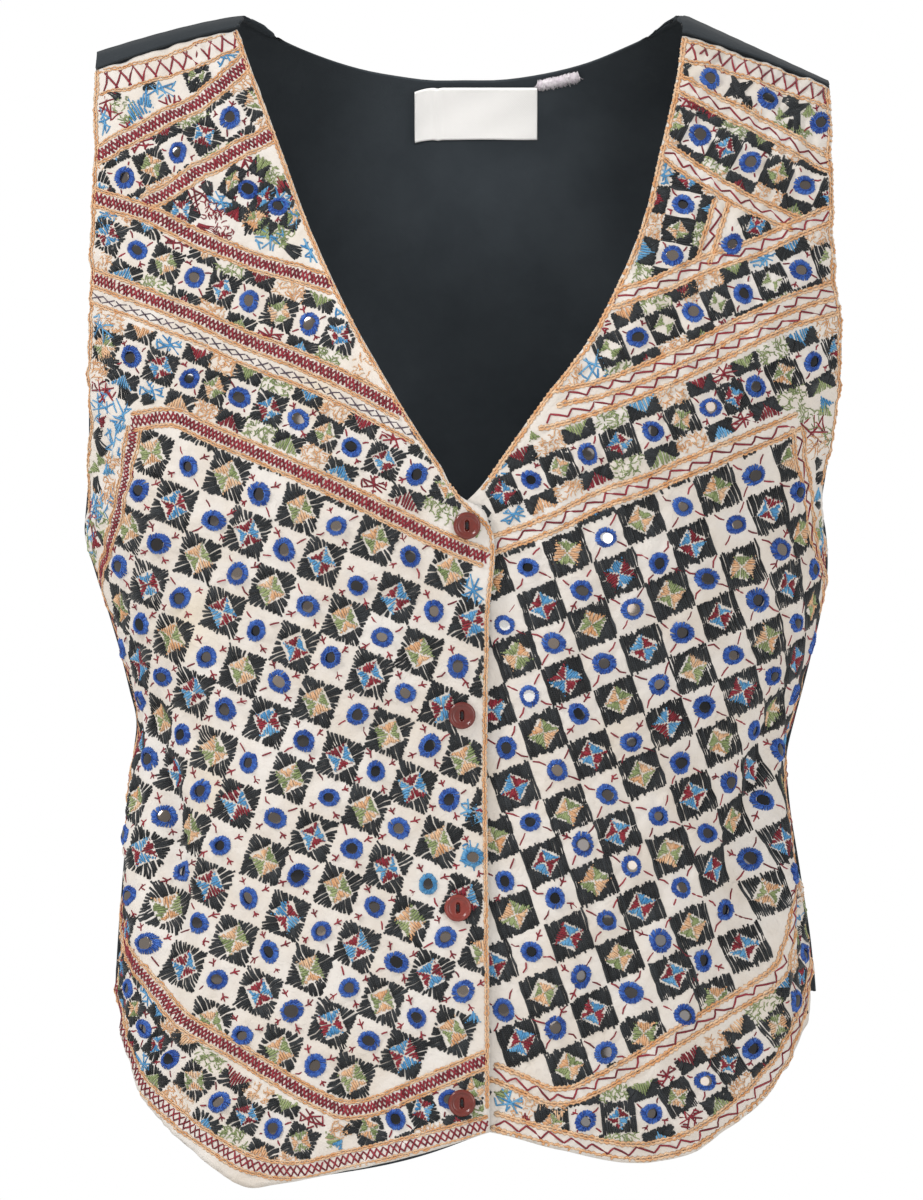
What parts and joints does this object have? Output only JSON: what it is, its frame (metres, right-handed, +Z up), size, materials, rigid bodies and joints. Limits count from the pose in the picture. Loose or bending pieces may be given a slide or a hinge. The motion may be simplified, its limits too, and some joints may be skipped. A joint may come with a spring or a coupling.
{
  "type": "embroidered waistcoat",
  "caption": "Women's V-neck waistcoat with pointed hem, four buttons, mirror-work embroidered fronts and a plain black back, in its worn, hollow form.",
  "frame": {"origin": "midway between the tops of the two shoulders, where the wearer's shoulders carry the garment", "axes": "+Z up along the wearer's spine, -Y to the wearer's front, +X to the wearer's left"},
  "size_m": [0.379, 0.2384, 0.5864],
  "materials": {
    "embroidered_front": "cream cotton with dense coloured hand embroidery",
    "black_back": "plain black cotton",
    "label": "bare white woven satin",
    "lining": "plain black cotton",
    "button": "dark oxblood resin, satin gloss"
  },
  "bodies": {
    "root": {"front_right": "embroidered_front", "front_left": "embroidered_front", "back": "black_back", "neck_label": "label", "hem_lining": "lining", "button_1": "button", "button_2": "button", "button_3": "button", "button_4": "button"}
  },
  "joints": []
}
